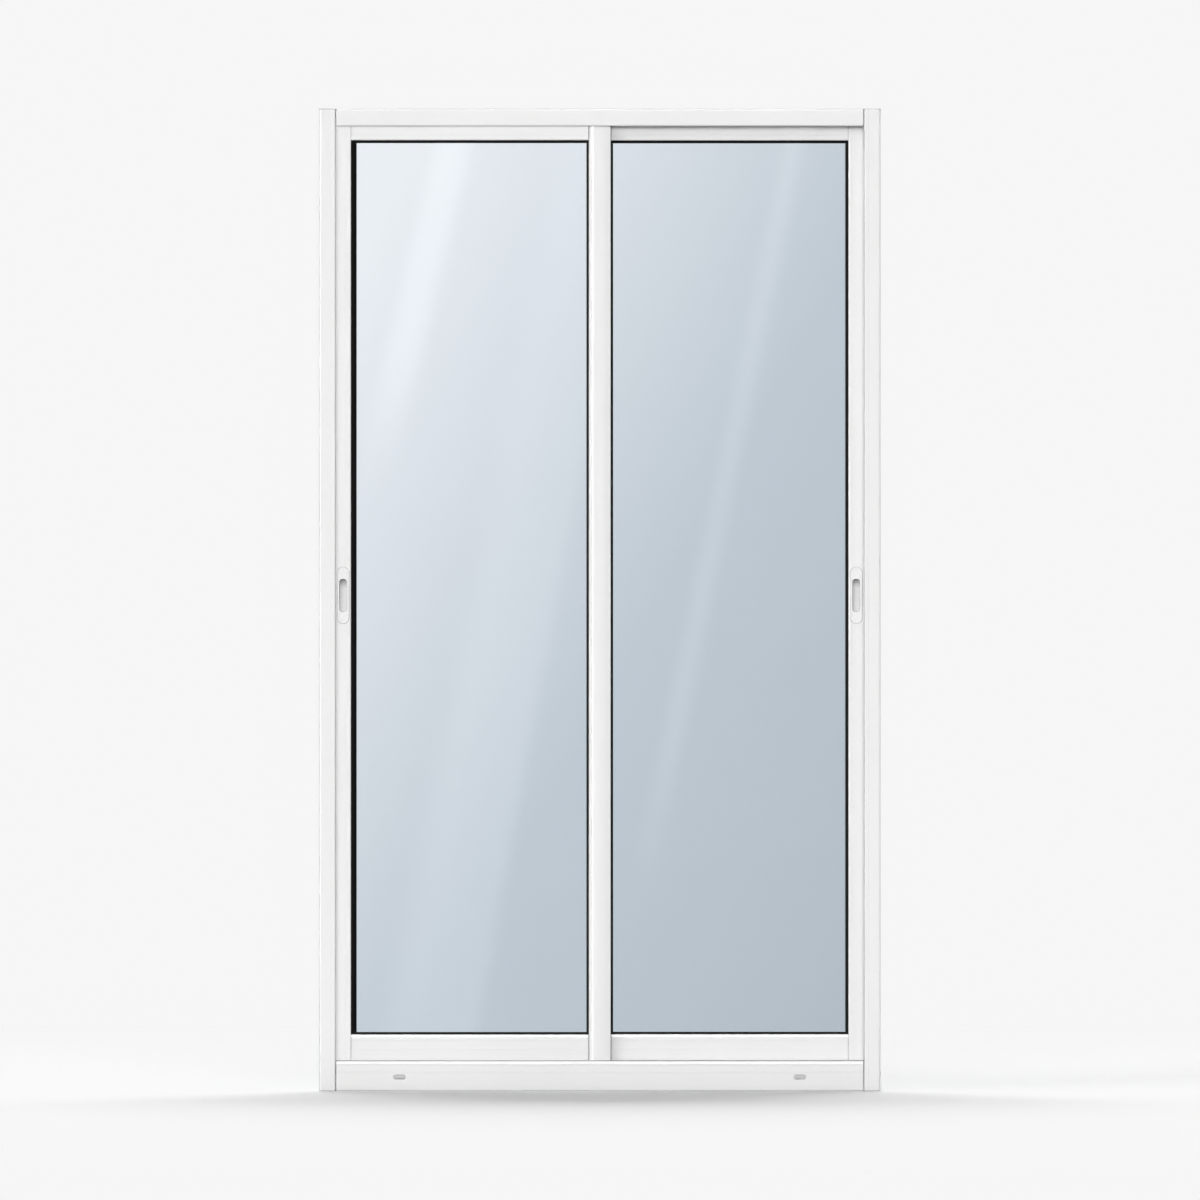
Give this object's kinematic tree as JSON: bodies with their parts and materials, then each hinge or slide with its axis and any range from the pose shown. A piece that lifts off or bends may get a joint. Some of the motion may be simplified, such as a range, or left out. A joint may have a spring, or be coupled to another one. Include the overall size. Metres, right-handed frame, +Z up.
{
  "type": "sliding door",
  "caption": "White aluminium sliding patio door in its frame: glazed leaves on parallel tracks slide past each other and have flush pulls.",
  "frame": {"origin": "middle of the sill's flat underside, at floor level", "axes": "+X to the right along the door seen from its front, +Y from the front to the back, +Z up"},
  "size_m": [1.2, 0.09, 2.1],
  "materials": {
    "powder_coat": "white powder coat, satin",
    "pull_coat": "white paint, semi-gloss",
    "glass": "polished, faint blue-grey",
    "spacer_bar": "dark anodised, matt",
    "black_rubber": "matt",
    "pile": "woven pile, grey",
    "grey_plastic": "matt, light grey",
    "white_plastic": "matt, white",
    "carriage_zinc": "die-cast, dull",
    "wheel_nylon": "matt, off-white"
  },
  "bodies": {
    "frame": {"left_jamb": "powder_coat", "right_jamb": "powder_coat", "head": "powder_coat", "sill": "powder_coat", "left_weep_cover": "grey_plastic", "right_weep_cover": "grey_plastic", "left_jamb_pile": "pile", "right_jamb_pile": "pile", "left_jamb_buffers": "black_rubber", "right_jamb_buffers": "black_rubber", "front_open_stop": "white_plastic", "rear_open_stop": "white_plastic"},
    "left_leaf": {"left_leaf_outer_stile": "powder_coat", "left_leaf_meeting_stile": "powder_coat", "left_leaf_top_rail": "powder_coat", "left_leaf_bottom_rail": "powder_coat", "left_leaf_interlock": "powder_coat", "left_leaf_rail_pile": "pile", "left_leaf_meeting_pile": "pile", "left_leaf_front_pane": "glass", "left_leaf_back_pane": "glass", "left_leaf_front_gasket": "black_rubber", "left_leaf_back_gasket": "black_rubber", "left_leaf_front_pull": "pull_coat", "left_leaf_back_pull": "pull_coat", "left_leaf_spacer": "spacer_bar", "left_leaf_setting_blocks": "black_rubber", "left_leaf_guides": "white_plastic", "left_leaf_carriages": "carriage_zinc", "left_leaf_wheels": "wheel_nylon"},
    "right_leaf": {"right_leaf_outer_stile": "powder_coat", "right_leaf_meeting_stile": "powder_coat", "right_leaf_top_rail": "powder_coat", "right_leaf_bottom_rail": "powder_coat", "right_leaf_interlock": "powder_coat", "right_leaf_rail_pile": "pile", "right_leaf_meeting_pile": "pile", "right_leaf_front_pane": "glass", "right_leaf_back_pane": "glass", "right_leaf_front_gasket": "black_rubber", "right_leaf_back_gasket": "black_rubber", "right_leaf_front_pull": "pull_coat", "right_leaf_back_pull": "pull_coat", "right_leaf_spacer": "spacer_bar", "right_leaf_setting_blocks": "black_rubber", "right_leaf_guides": "white_plastic", "right_leaf_carriages": "carriage_zinc", "right_leaf_wheels": "wheel_nylon"}
  },
  "joints": [
    {"name": "left_leaf_slide", "type": "slide", "parent": "frame", "child": "left_leaf", "axis": [1, 0, 0], "range_m": [0, 0.5335]},
    {"name": "right_leaf_slide", "type": "slide", "parent": "frame", "child": "right_leaf", "axis": [-1, 0, 0], "range_m": [0, 0.5335]}
  ]
}
